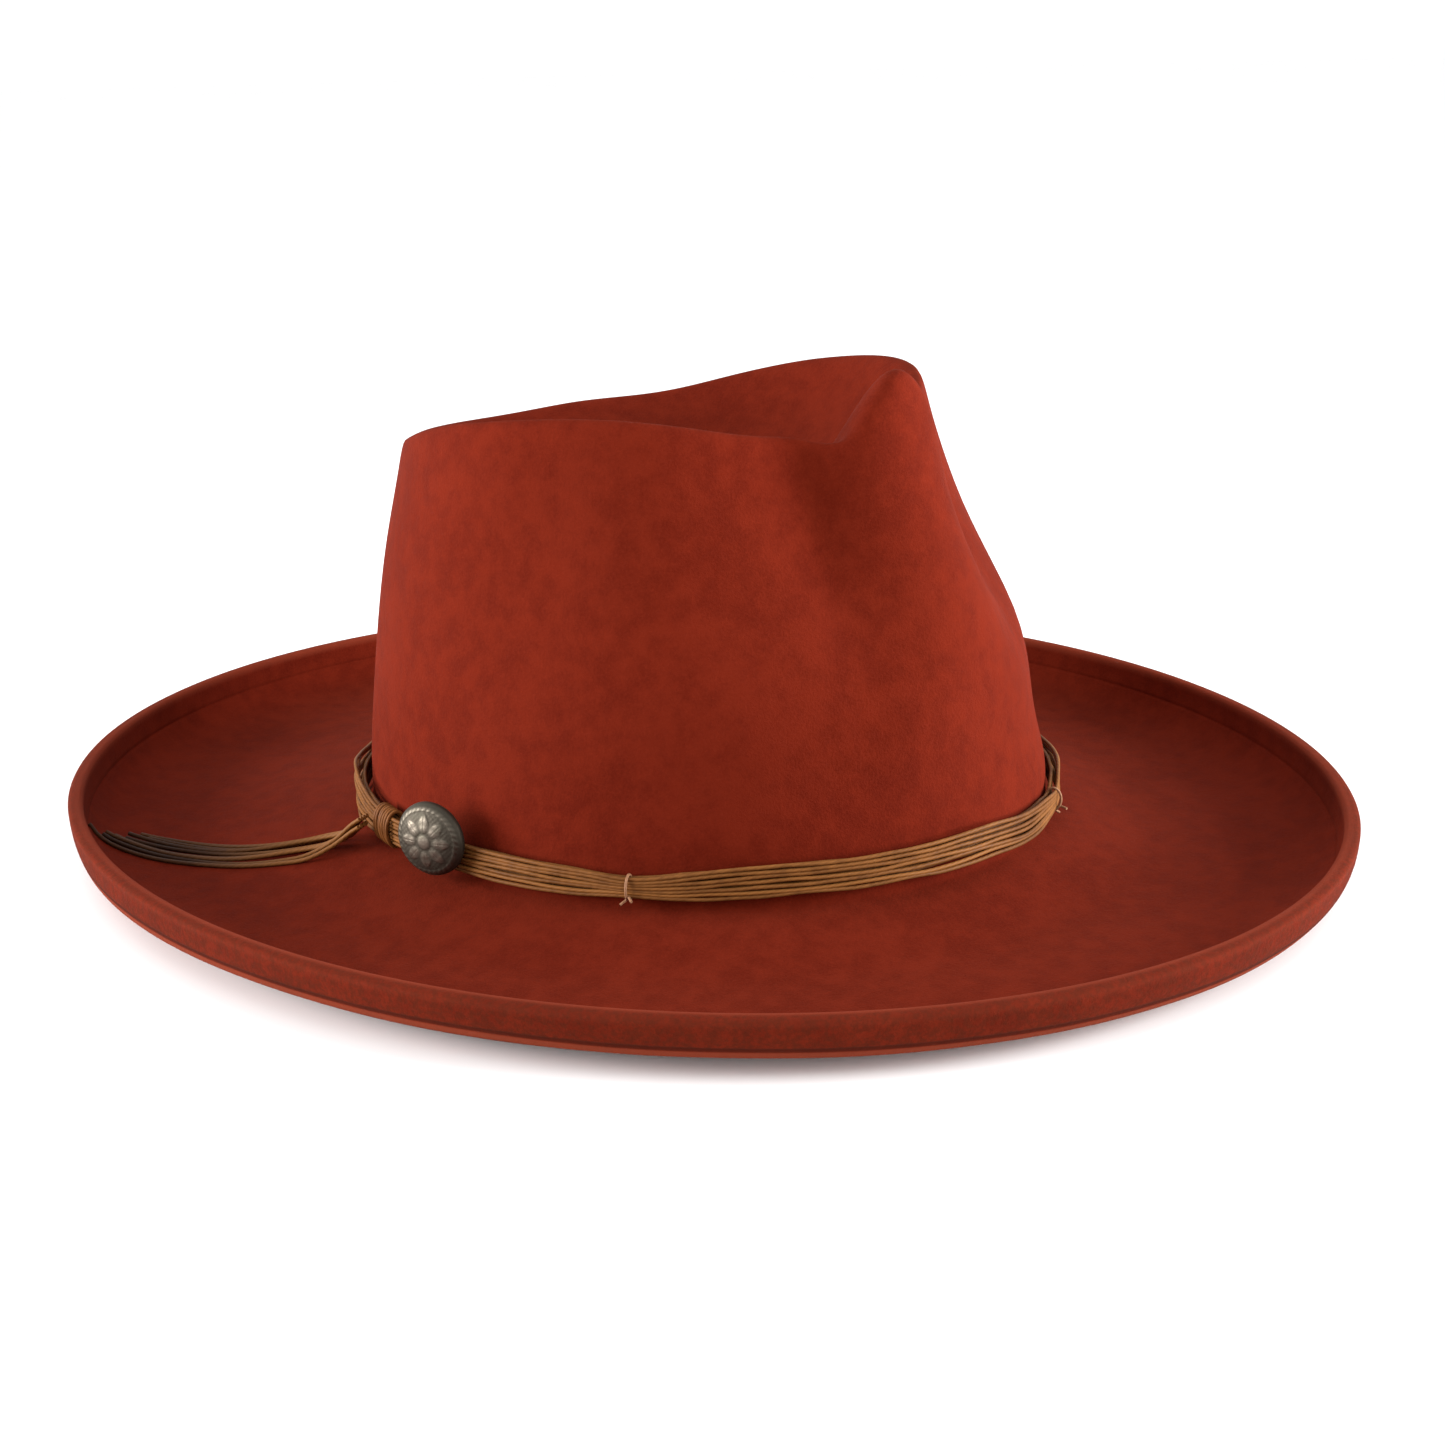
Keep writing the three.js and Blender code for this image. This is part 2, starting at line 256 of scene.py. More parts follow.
# The cords' sizes come before the felt, whose wall stays upright behind the band.
cord = {
    "bundleThickness": 3.2,
    "bundleWidth": 7.5,
    "bundleRise": 2.2,  # how much higher the band lies in front
    "riseAngle": 25,
    "riseReach": 28,
    "riseSharpness": 6,
    "strandDiameter": 1.1,
    "frontStrands": 7,
    "strands": 13,
    "threadDiameter": 0.7,
    "coilDiameter": 1.3,
    "clearance": 0.3,
    "knotAngle": 109,
    "knotSpread": 14,
    "wrapAngles": (62, -22, -112, -160),
    "wrapPinch": (0.34, 0.45, 0.34, 0.34),
}

# The felt's surface follows the rule of the part's source. Each section runs from the middle of
# the crown's dish over its edge, down its wall and out to the brim's edge.
felt = {
    "thickness": 2.2,
    "brimHalfLength": 188.3,
    "brimHalfWidth": 166.5,
    "brimLift": 16.8,
    "restInset": 26,  # from the brim's edge in to the ring that the hat rests on
    "restSink": 0.7,
    "frontFlare": 0.4,  # what the inset gains in front
    "frontDrop": 0.14,  # what the lift loses in front
    "baseBend": 6,
    "crownHalfLength": 101.5,
    "crownHalfWidth": 92.6,
    "crownForward": 4.5,
    "crownHeight": 125,
    "bandHeight": 11.3,
    "hollowDepth": 41,
    "noseRounding": 0.04,
    "noseSpread": 22,
    # The crown's top edge: angle of the base oval, share of its radius, share of the height.
    "crownEdge": [
        (0, 0.7, 1.0), (8, 0.705, 0.954), (16, 0.7, 0.87), (26, 0.612, 0.876), (40, 0.629, 0.89),
        (70, 0.739, 0.933), (100, 0.819, 0.91), (135, 0.838, 0.826), (160, 0.846, 0.802),
        (180, 0.875, 0.791),
    ],
    # Dents: angle, level, depth, spread in degrees, spread in height. The third is a press mark.
    "dents": [
        (22, 0.72, 0.042, 10, 0.17), (-22, 0.72, 0.042, 10, 0.17), (79, 0.72, 0.02, 10, 0.15),
    ],
    # The dish: share of the way out to the crown's edge, share of the height up to it.
    "dish": [(0, 0), (0.3, 0), (0.62, 0.1)],
    "dishWall": (-0.14, 0.55),
    # Round the crown's edge: outward, and what the nose's rounding adds; upward, and the same.
    "crownLip": [(-0.055, -0.5, -0.024, 0), (0.005, 0, 0.013, 0), (0.022, 0.3, -0.064, -0.5)],
    # Down the wall: share of its height, lean in front, lean behind.
    "crownWall": [(0.7, 0.69, 0.49), (0.45, 0.14, 0.25), (0.24, 0.13, 0.07)],
    "upright": (1.6, 0.5),  # the wall behind the band, in band widths above its lower edge
    "baseDrop": 0.17,
    "bendRows": [(0.25, 0.43), (1, 0.53)],  # out and down, as shares of the base's bend
    "slopeLevel": 0.22,  # halfway down the brim's slope, as a share of the band's height
    "restRows": (1.5, 1.1, 0.72),  # shares of the inset
    "curlRows": [(0.42, 0.02), (0.17, 0.14), (0.01, 0.42)],  # shares of the inset and of the lift
}

# How finely the felt is made, and what only the scene shows of it.
feltDetail = {
    "columns": 320,
    "rows": 108,
    "fineSteps": 24,  # in each span of a section, to measure along it
    "frontCrowding": 0.35,  # columns stand closer together in front
    # Distances from the brim's edge at which the welt gets its rows, dense at its groove and fold.
    "weltRows": (12.2, 10.6, 9.4, 8.6, 8.2, 7.95, 7.75, 7.5, 7.25, 7.0, 6.75, 6.5, 6.2, 5.6, 4.6,
                 3.4, 2.2, 1.1, 0.4, 0),
    "grooveInset": 7.0,
    "grooveDepth": 0.45,
    "grooveReach": 0.55,
    "weltWidth": 8.0,
    "foldExtra": 0.9,  # the welt's second layer, as a share of the felt's thickness
    "foldStep": 0.5,
    "foldStart": 0.2,
    "lipSteps": 6,
    "lipBulge": 0.4,
    "softness": 0.3,  # steamed felt is never quite even
    "calmHeight": 1.5,  # but it stays flat where the hat rests
    "calmFade": 6,
    "calmEdge": 20,
}


def edgeValue(column, degrees):  # a smooth curve through one column of the crown's edge
    rows = felt["crownEdge"]
    row = 0
    while row < len(rows) - 2 and rows[row + 1][0] <= degrees:
        row += 1

    def slope(at):
        if at in (0, len(rows) - 1):
            return 0
        before, after = rows[at - 1], rows[at + 1]
        return (after[column] - before[column]) / (after[0] - before[0])

    span = rows[row + 1][0] - rows[row][0]
    share = (degrees - rows[row][0]) / span
    square, cube = share ** 2, share ** 3
    return ((2 * cube - 3 * square + 1) * rows[row][column]
            + (cube - 2 * square + share) * span * slope(row)
            + (3 * square - 2 * cube) * rows[row + 1][column]
            + (cube - square) * span * slope(row + 1))


def dentDepth(degrees, height):
    depth = 0
    for angle, level, deep, angleSpread, heightSpread in felt["dents"]:
        turn = turnFrom(degrees, angle)
        up = (height / felt["crownHeight"] - level) / heightSpread
        depth += deep * felt["crownHalfWidth"] * math.exp(-((turn / angleSpread) ** 2) - up * up)
    return depth


def feltSection(angle):
    signed = math.degrees(angle)
    degrees = abs(signed)
    bend, thick, band = felt["baseBend"], felt["thickness"], felt["bandHeight"]
    tall, wide, long = felt["crownHeight"], felt["crownHalfWidth"], felt["crownHalfLength"]
    reach = edgeValue(1, degrees)
    wallHeight = edgeValue(2, degrees) * tall
    rimZ = band + wallHeight
    hollowZ = band + tall - felt["hollowDepth"]
    rise = rimZ - hollowZ
    base = np.array([-wide * math.sin(angle), -long * math.cos(angle)])
    edge = np.array([-felt["brimHalfWidth"] * math.sin(angle),
                     -felt["brimHalfLength"] * math.cos(angle) + felt["crownForward"]])
    brimWidth = np.linalg.norm(edge - base)
    outward = (edge - base) / brimWidth
    radius = np.linalg.norm(base)
    front = (1 + math.cos(angle)) / 2
    inset = felt["restInset"] * (1 + felt["frontFlare"] * front ** 3)
    lift = felt["brimLift"] * (1 - felt["frontDrop"] * front ** 3)
    soft = felt["noseRounding"] * bell(degrees, felt["noseSpread"])
    points = []

    def onCrown(share, z):
        dent = dentDepth(signed, z - band) if share > 0.5 * reach else 0
        points.append((*(base / radius * max(radius * share - dent, 0)), z))

    def onBrim(distance, z):
        points.append((*(base + outward * distance), z))

    for out, up in felt["dish"]:
        onCrown(out * reach, hollowZ + up * rise)
    out, up = felt["dishWall"]
    onCrown(reach + out - soft, hollowZ + up * rise)
    for out, softOut, up, softUp in felt["crownLip"]:
        onCrown(reach + out + softOut * soft, rimZ + (up + softUp * soft) * tall)
    for height, frontLean, backLean in felt["crownWall"]:
        lean = frontLean * front + backLean * (1 - front)
        onCrown(1 + (reach - 1) * lean, band + wallHeight * height)
    for widths in felt["upright"]:
        onCrown(1, band + widths * cord["bundleWidth"])
    onCrown(1, band - felt["baseDrop"] * bend)
    for out, down in felt["bendRows"]:
        onBrim(out * bend, band - down * bend)
    restStart = brimWidth - felt["restRows"][0] * inset
    onBrim((bend + restStart) / 2, thick + felt["slopeLevel"] * band)
    for back in felt["restRows"]:
        onBrim(brimWidth - back * inset, thick - felt["restSink"])
    for back, up in felt["curlRows"]:
        onBrim(brimWidth - back * inset, thick + up * lift)
    onBrim(brimWidth, lift)
    return np.array(points)


def splineAt(control, at):  # a clamped uniform cubic spline at parameters counted in spans
    padded = np.vstack([control[:1]] * 2 + [control] + [control[-1:]] * 2)
    span = np.minimum(at.astype(int), len(padded) - 4)
    t = (at - span)[:, None]
    return ((1 - t) ** 3 * padded[span]
            + (3 * t ** 3 - 6 * t ** 2 + 4) * padded[span + 1]
            + (-3 * t ** 3 + 3 * t ** 2 + 3 * t + 1) * padded[span + 2]
            + t ** 3 * padded[span + 3]) / 6


def feltGrid():
    columns, distances = [], []
    for i in range(feltDetail["columns"]):
        even = 2 * math.pi * i / feltDetail["columns"]
        turn = even - feltDetail["frontCrowding"] * math.sin(even)
        control = feltSection(turn if turn <= math.pi else turn - 2 * math.pi)
        spans = len(control) + 1
        fine = np.linspace(0, spans, spans * feltDetail["fineSteps"] + 1)
        steps = np.linalg.norm(np.diff(splineAt(control, fine), axis=0), axis=1)
        fromEdge = np.concatenate([np.cumsum(steps[::-1])[::-1], [0]])
        welt = np.interp(feltDetail["weltRows"], fromEdge[::-1], fine[::-1])
        inner = np.linspace(0, welt[0], feltDetail["rows"], endpoint=False)
        at = np.concatenate([inner, welt])
        columns.append(splineAt(control, at))
        distances.append(np.interp(at, fine, fromEdge))
    grid = np.array(columns).transpose(1, 0, 2)  # row, column, place
    grid[:, :, 1] -= felt["crownForward"]
    return grid, np.array(distances).T


def gridNormals(grid):
    along = np.roll(grid, -1, 1) - np.roll(grid, 1, 1)
    normals = np.cross(along, np.gradient(grid, axis=0))
    normals = normals / np.maximum(np.linalg.norm(normals, axis=2, keepdims=True), 1e-9)
    normals[0] = (0, 0, 1)
    return normals


def feltShape():
    detail, thick = feltDetail, felt["thickness"]
    grid, fromEdge = feltGrid()
    rows, count = fromEdge.shape
    normals = gridNormals(grid)
    x, y, z = grid[..., 0], grid[..., 1], grid[..., 2]
    broadWave = np.sin(x / 17 + 1.3) * np.sin(y / 21 - 0.6)
    fineWave = np.sin(x / 9 - y / 14) * np.sin(z / 11 + 0.4)
    free = (np.clip((z - thick - detail["calmHeight"]) / detail["calmFade"], 0, 1)
            * np.clip(fromEdge / detail["calmEdge"], 0, 1))
    grid = grid + normals * (detail["softness"] * (broadWave + 0.6 * fineWave) * free)[..., None]
    groove = np.exp(-(((fromEdge - detail["grooveInset"]) / detail["grooveReach"]) ** 2))
    upper = grid - normals * (detail["grooveDepth"] * groove)[..., None]
    inFold = (detail["weltWidth"] - fromEdge) / detail["foldStep"] + detail["foldStart"]
    depth = thick * (1 + detail["foldExtra"] * np.clip(inFold, 0, 1))
    lower = grid - normals * depth[..., None]
    lower[..., 2] = np.maximum(lower[..., 2], 0)
    # The first row is one point, and the lower face follows the upper one.
    points = [place for side in (upper, lower) for place in (side[0, 0], *side[1:].reshape(-1, 3))]
    shift = len(points) // 2
    rimDistance = 2 * [fromEdge[0, 0], *fromEdge[1:].reshape(-1)]
    outside = [0.0] * shift + [1.0] * shift

    def ring(row):
        return 1 + (row - 1) * count

    faces = []
    for i in range(count):
        faces.append((0, 1 + (i + 1) % count, 1 + i))
        faces.append((shift, shift + 1 + i, shift + 1 + (i + 1) % count))
    for row in range(1, rows - 1):
        start, end = ring(row), ring(row + 1)
        faces += ringFaces(start, end, count)
        faces += [face[::-1] for face in ringFaces(shift + start, shift + end, count)]
    # The lip: a round edge from the upper face over to the lower one.
    before = ring(rows - 1)
    for step in range(1, detail["lipSteps"]):
        turn = math.pi * step / detail["lipSteps"]
        share = (1 - math.cos(turn)) / 2
        lip = upper[-1] * (1 - share) + lower[-1] * share
        lip[:, 2] += detail["lipBulge"] * thick * math.sin(turn)
        start = len(points)
        points += list(lip)
        rimDistance += [0] * count
        outside += [share] * count
        faces += ringFaces(before, start, count)
        before = start
    faces += ringFaces(before, shift + ring(rows - 1), count)
    return np.array(points) * mm, faces, np.array(rimDistance) * mm, outside


feltLooks = {
    "deep": (0.090, 0.0064, 0.0016),
    "bright": (0.122, 0.0104, 0.0032),
    "fibre": (0.155, 0.016, 0.0065),
    "fibreShare": 0.3,
    # Painted shade darkens the welt's outer face down to its seam; painted light pales a strip
    # under it.
    # painted shade on the welt's outer face, speckled
    "welt": (0.042, 0.0085, 0.0032),
    "weltShare": 0.2,
    "speckleShare": 0.42,
    # painted shade: a dark line in the seam's groove
    "seam": (0.026, 0.0045, 0.002),
    "seamShadeShare": 0.7,
    # painted light on the outer face under the seam, as if from the floor below
    "litStrip": (0.19, 0.040, 0.019),
    "litStripShare": 0.55,
    # painted highlight along the fold at the brim's edge
    "edgeHighlight": (0.22, 0.040, 0.019),
    "edgeHighlightShare": 0.45,
    # Each belt's ramps over the distance from the brim's edge, in metres: where it is 0, then 1.
    "weltBelt": [(0.0060, 0.0054)],
    "seamBelt": [(0.0052, 0.0056), (0.0064, 0.0060)],
    "litStripBelt": [(0.0060, 0.0065), (0.020, 0.010)],
    "edgeHighlightBelt": (0.0020, 0.0),
    "sheenTint": (0.95, 0.28, 0.14),
    "roughness": 0.86,
    "roughnessRange": 0.1,
}


def feltFinish():
    looks = feltLooks
    wool = Finish("rustFelt", Sheen_Weight=0.03, Sheen_Roughness=0.5,
                  Sheen_Tint=rgba(looks["sheenTint"]), Specular_IOR_Level=0.04)
    edge = wool.attribute("rimDistance")
    outer = wool.stepped(wool.attribute("outside"), 0.25, 0.7)

    def belt(name):  # a belt round the brim, on the welt's outer face
        mask = outer
        for low, high in looks[name]:
            mask = mask * wool.stepped(edge, low, high)
        return mask

    broad = wool.noise(22, 3)
    mottle = wool.noise(160, 4, 0.6)
    fibre = wool.noise(1500, 5, 0.65)
    speckle = wool.stepped(wool.noise(620, 4, 0.7), 0.38, 0.62)
    tone = wool.mixed(wool.stepped(mottle * 0.65 + broad * 0.35, 0.36, 0.64),
                      rgba(looks["deep"]), rgba(looks["bright"]))
    hairs = wool.stepped(fibre, 0.35, 0.75) * looks["fibreShare"]
    tone = wool.mixed(hairs, tone, rgba(looks["fibre"]))
    # painted shade on the welt's outer face, speckled by noise
    weltShade = belt("weltBelt") * (looks["weltShare"] + speckle * looks["speckleShare"])
    tone = wool.mixed(weltShade, tone, rgba(looks["welt"]))
    # painted shade in the seam's groove; the same mask dents the felt below
    seam = belt("seamBelt")
    tone = wool.mixed(seam * looks["seamShadeShare"], tone, rgba(looks["seam"]))
    # painted light under the seam, as if from the floor below
    tone = wool.mixed(belt("litStripBelt") * looks["litStripShare"], tone, rgba(looks["litStrip"]))
    # painted highlight along the fold, mostly on its upper face
    edgeHighlight = wool.stepped(edge, *looks["edgeHighlightBelt"]) * (1 - outer * 0.75) * looks["edgeHighlightShare"]
    tone = wool.mixed(edgeHighlight, tone, rgba(looks["edgeHighlight"]))
    nap = wool.bump(fibre, 0.55, 0.00035)
    sewn = wool.bump(1 - seam, 0.6, 0.0005, nap)
    felted = wool.bump(wool.noise(420, 3, 0.6), 0.25, 0.0006, sewn)
    dull = wool.stepped(mottle, 0.2, 0.8) * looks["roughnessRange"] + looks["roughness"]
    return wool.wear(Base_Color=tone, Normal=felted, Roughness=dull)


feltPoints, feltFaces, rimDistance, outside = feltShape()
hatFelt = meshObject("hatFelt", feltPoints, feltFaces, feltFinish())
addValues(hatFelt, "rimDistance", rimDistance)
addValues(hatFelt, "outside", outside)
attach(hatFelt, "root")
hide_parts("felt_body")
feltTree = BVHTree.FromPolygons([Vector(point) for point in feltPoints], feltFaces)
print("felt made:", len(feltFaces), "faces")


# How the strands of a bundle part: in multiples of their wander, and of a strand's diameter.
parting = {
    "wanderUp": 4.0,
    "wanderOut": 2.0,
    "fanOut": 1.2,  # the whole bundle leans out where it fans out
    "fanBack": 0.9,  # but its back row stays together
    "seedStep": 3.7,
}


def strandTree():  # every copy of the guide line is a strand of the bundle
    tree = bpy.data.node_groups.new("strands", "GeometryNodeTree")
    for name, kind in (("Geometry", "Geometry"), ("Strands", "Int"), ("Front Strands", "Float"),
                       ("Diameter", "Float"), ("Width", "Float"), ("Thickness", "Float"),
                       ("Wander", "Float"), ("Wander Scale", "Float"), ("Sides", "Int"),
                       ("Seed", "Int"), ("Material", "Material")):
        tree.interface.new_socket(name, in_out="INPUT", socket_type="NodeSocket" + kind)
    tree.interface.new_socket("Geometry", in_out="OUTPUT", socket_type="NodeSocketGeometry")
    weave = Graph(tree)
    given = weave.node("NodeGroupInput")
    front, diameter, seed = (given.part(name) for name in ("Front Strands", "Diameter", "Seed"))
    copies = weave.node("GeometryNodeDuplicateElements", {"domain": "SPLINE"},
                        {"Geometry": given.part("Geometry"), "Amount": given.part("Strands")})
    index = copies.part("Duplicate Index")
    behind = index.over(front - 0.5)
    row = index - behind * front - (front - 1 - behind) / 2
    spread = weave.node("GeometryNodeInputRadius")
    pitch = (given.part("Width") - diameter) / weave.maths("MAXIMUM", front - 1, 1.0)
    loose = weave.node("ShaderNodeTexNoise", {"noise_dimensions": "4D"}, {
        "Vector": weave.node("GeometryNodeInputPosition"), "W": index * parting["seedStep"] + seed,
        "Scale": given.part("Wander Scale"), "Detail": 1.0}, "Color")
    drift = weave.node("ShaderNodeSeparateXYZ", None,
                       {0: weave.vector("SUBTRACT", loose, (0.5, 0.5, 0.5))})
    wander = given.part("Wander") * spread
    fanned = weave.maths("MAXIMUM", spread - 1, 0.0)
    height = row * pitch * (spread - behind * fanned * parting["fanBack"])
    height = height + drift * wander * parting["wanderUp"]
    outward = (0.5 - behind) * (given.part("Thickness") - diameter)
    outward = outward + drift.part("Y") * wander * parting["wanderOut"]
    outward = outward + (spread - 1) * diameter * parting["fanOut"]
    tangent = weave.node("GeometryNodeInputTangent")
    sideways = weave.vector("NORMALIZE", weave.vector("CROSS_PRODUCT", (0, 0, 1), tangent))
    offset = weave.vector("ADD", weave.scaled(sideways, outward), weave.scaled((0, 0, 1), height))
    moved = weave.node("GeometryNodeSetPosition", None, {"Geometry": copies, "Offset": offset})
    even = weave.node("GeometryNodeSetCurveRadius", None, {0: moved, "Radius": 1.0})
    length = weave.node("GeometryNodeSplineParameter").part("Length")
    chance = weave.node("FunctionNodeRandomValue", {"data_type": "FLOAT"},
                        {"ID": index, "Seed": seed}, 1)
    line = weave.stored(weave.stored(even, "along", length), "shade", chance)
    circle = weave.node("GeometryNodeCurvePrimitiveCircle", {"mode": "RADIUS"},
                        {"Resolution": given.part("Sides"), "Radius": diameter / 2})
    circle = weave.stored(circle, "around", weave.node("GeometryNodeSplineParameter"))
    tube = weave.node("GeometryNodeCurveToMesh", None,
                      {"Curve": line, "Profile Curve": circle, "Fill Caps": True})
    # The last face round a cord runs on to 1, not back to 0.
    around = weave.named("around")
    mean = weave.node("GeometryNodeFieldOnDomain", {"data_type": "FLOAT", "domain": "FACE"},
                      {0: around})
    pair = weave.node("ShaderNodeCombineXYZ", None,
                      {"X": around + (mean - around).over(0.25), "Y": weave.named("along")})
    mapped = weave.stored(tube, "UVMap", pair, "FLOAT2", "CORNER")
    smooth = weave.node("GeometryNodeSetShadeSmooth", None, {"Geometry": mapped})
    real = weave.node("GeometryNodeRealizeInstances", None, {"Geometry": smooth})
    done = weave.node("GeometryNodeSetMaterial", None,
                      {"Geometry": real, "Material": given.part("Material")})
    weave.node("NodeGroupOutput", None, {"Geometry": done})
    return tree


cordTree = strandTree()


def wound(name, line, material, spreads=None, cyclic=False, **inputs):
    curve = bpy.data.curves.new(name + "Guide", "CURVE")
    curve.dimensions = "3D"
    spline = curve.splines.new("POLY")
    spline.points.add(len(line) - 1)
    places = np.hstack([np.array(line) * mm, np.ones((len(line), 1))])
    spline.points.foreach_set("co", places.ravel())
    spline.points.foreach_set("radius", spreads or [1.0] * len(line))
    spline.use_cyclic_u = cyclic
    guide = bpy.data.objects.new(name + "Guide", curve)
    bpy.context.scene.collection.objects.link(guide)
    modifier = guide.modifiers.new("strands", "NODES")
    modifier.node_group = cordTree
    values = {"Strands": 1, "Front Strands": 1.0, "Width": 0.0, "Wander": 0.0,
              "Wander Scale": 40.0, "Sides": 8, "Material": material}
    values["Thickness"] = inputs["Diameter"]  # so a single strand lies on its guide line
    values.update((key.replace("_", " "), value) for key, value in inputs.items())
    for item in cordTree.interface.items_tree:
        if item.in_out == "INPUT" and item.name in values:
            modifier[item.identifier] = values[item.name]
    evaluated = guide.evaluated_get(bpy.context.evaluated_depsgraph_get())
    mesh = bpy.data.meshes.new_from_object(evaluated)
    mesh.name = name
    made = bpy.data.objects.new(name, mesh)
    bpy.context.scene.collection.objects.link(made)
    bpy.data.objects.remove(guide)
    return made


# Twist is the length of one turn in the cord, in metres. The tails have painted shade, darker
# than the band, but keep the band's colour near the knot, fading out between the lengths in fades.
cordLooks = {
    "bandCord": {"dark": (0.080, 0.026, 0.0060), "light": (0.235, 0.090, 0.021), "twist": 0.0022},
    "knotCord": {"dark": (0.085, 0.025, 0.0060), "light": (0.270, 0.098, 0.022), "twist": 0.0022},
    # painted shade: the tails are darker than the band's cord
    "tailCord": {"dark": (0.030, 0.011, 0.005), "light": (0.110, 0.042, 0.014), "twist": 0.0022,
                 "unshaded": (0.235, 0.090, 0.020), "fades": (0.010, 0.060)},
    "wrapThread": {"dark": (0.26, 0.12, 0.06), "light": (0.42, 0.24, 0.14), "twist": 0.0014},
}
cordWear = {
    "yarns": 3,  # that a cord is laid of
    "soiledShare": 0.45,
    # how much of the band's colour the tails keep near the knot, out of their painted shade
    "unshadedShare": 0.85,
    # painted shade in the lay's grooves: how much, and how dark
    "grooveShadeShare": 0.18,
    "grooveShade": 0.5,
    "roughness": 0.45,
    "roughnessRange": 0.25,
}


def cordFinish(name, look):
    wax = Finish(name, Coat_Weight=0.02, Coat_Roughness=0.4, Specular_IOR_Level=0.12)
    dark, wear = look["dark"], cordWear
    uv = wax.node("ShaderNodeTexCoord").part("UV")
    around = wax.node("ShaderNodeSeparateXYZ", None, {0: uv})
    along = around.part("Y")
    lay = wax.maths("SINE", (around * wear["yarns"] + along / look["twist"]) * 2 * math.pi)
    fibre = wax.noise(2600, 3)
    patch = wax.noise(240, 3, 0.6)
    soiled = wax.stepped(wax.noise(17, 2), 0.5, 0.68)
    shade = wax.stepped(wax.attribute("shade") * 0.5 + patch * 0.6, 0.25, 0.85)
    tone = wax.mixed(shade, rgba(dark), rgba(look["light"]))
    tone = wax.mixed(soiled * wear["soiledShare"], tone, rgba(dark))
    # near the knot the tails' painted shade gives way to the band's colour
    if "unshaded" in look:
        whole, gone = look["fades"]
        near = wax.stepped(along, gone, whole) * wear["unshadedShare"]
        tone = wax.mixed(near, tone, rgba(look["unshaded"]))
    # painted shade in the grooves between the cord's yarns
    groove = wax.stepped(lay, 0.2, -1.0) * wear["grooveShadeShare"]
    tone = wax.mixed(groove, tone, rgba(value * wear["grooveShade"] for value in dark))
    twisted = wax.bump(lay * 0.25 + fibre * 0.75, 0.6, 0.00008)
    dull = patch * wear["roughnessRange"] + wear["roughness"]
    return wax.wear(Base_Color=tone, Normal=twisted, Roughness=dull)


cordFinishes = {name: cordFinish(name, look) for name, look in cordLooks.items()}


# Places round the crown: the angle is that of the base oval, in degrees from the front.
def crownFrame(degrees, offset, z):
    angle = math.radians(degrees)
    long, wide = felt["crownHalfLength"], felt["crownHalfWidth"]
    out = Vector((-long * math.sin(angle), -wide * math.cos(angle), 0)).normalized()
    wall = Vector((-wide * math.sin(angle), -long * math.cos(angle) - felt["crownForward"], z))
    return wall + out * offset, out, upward.cross(out)


def bundleMiddle(degrees):  # the bundle's distance from the felt, larger under the knot
    extra = cord["coilDiameter"] - cord["threadDiameter"] + cord["clearance"]
    share = bell(turnFrom(degrees, cord["knotAngle"]), cord["knotSpread"])
    gap = cord["threadDiameter"] + 2 * cord["clearance"] + extra * share
    return gap + cord["bundleThickness"] / 2


def bundleLevel(degrees):
    share = bell(turnFrom(degrees, cord["riseAngle"]), cord["riseReach"], cord["riseSharpness"])
    return felt["bandHeight"] + cord["bundleWidth"] / 2 + cord["bundleRise"] * share


def onBundle(degrees, offset=0, rise=0):
    return crownFrame(degrees, bundleMiddle(degrees) + offset, bundleLevel(degrees) + rise)


band = {
    "points": 420,
    "seamAngle": -160,  # the seam of the strands lies under this wrap
    "sides": 7,
    "seed": 5,
    "wander": 0.00040,
    "wanderScale": 48.0,
    # Where the bundle fans out: angle, reach in degrees, extra width as a share.
    "looseAt": ((130, 13, 1.0), (-40, 9, 0.3), (8, 30, 0.3), (46, 8, 0.12), (86, 14, 0.1)),
    "tightReach": 6.0,
    "hug": 0.85,  # how far the free strands lie in against the crown
    "heldAtWrap": 5,
    "heldAtKnot": 13,
}


def bandSpread(degrees):  # the bundle fans out between its wraps and is pinched in them
    spread = 1.0
    for angle, reach, extra in band["looseAt"]:
        spread += extra * bell(turnFrom(degrees, angle), reach)
    for angle, pinch in zip(cord["wrapAngles"], cord["wrapPinch"]):
        spread -= pinch * bell(turnFrom(degrees, angle), band["tightReach"])
    return spread


def bandHug(degrees):  # in the knot and the wraps the bundle keeps its distance from the felt
    ties = [(angle, band["heldAtWrap"]) for angle in cord["wrapAngles"]]
    ties.append((cord["knotAngle"], band["heldAtKnot"]))
    held = max(bell(turnFrom(degrees, angle), reach) for angle, reach in ties)
    return -band["hug"] * (1 - held)


def makeBand():
    line, spreads = [], []
    for i in range(band["points"]):
        degrees = band["seamAngle"] + 360 * i / band["points"]
        line.append(onBundle(degrees, bandHug(degrees))[0])
        spreads.append(bandSpread(degrees))
    made = wound("bandStrands", line, cordFinishes["bandCord"], spreads, True,
                 Strands=cord["strands"], Front_Strands=float(cord["frontStrands"]),
                 Diameter=cord["strandDiameter"] * mm, Width=cord["bundleWidth"] * mm,
                 Thickness=cord["bundleThickness"] * mm, Wander=band["wander"],
                 Wander_Scale=band["wanderScale"], Sides=band["sides"], Seed=band["seed"])
    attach(made, "root")
    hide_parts("hat_band")


makeBand()
print("band strands laid")


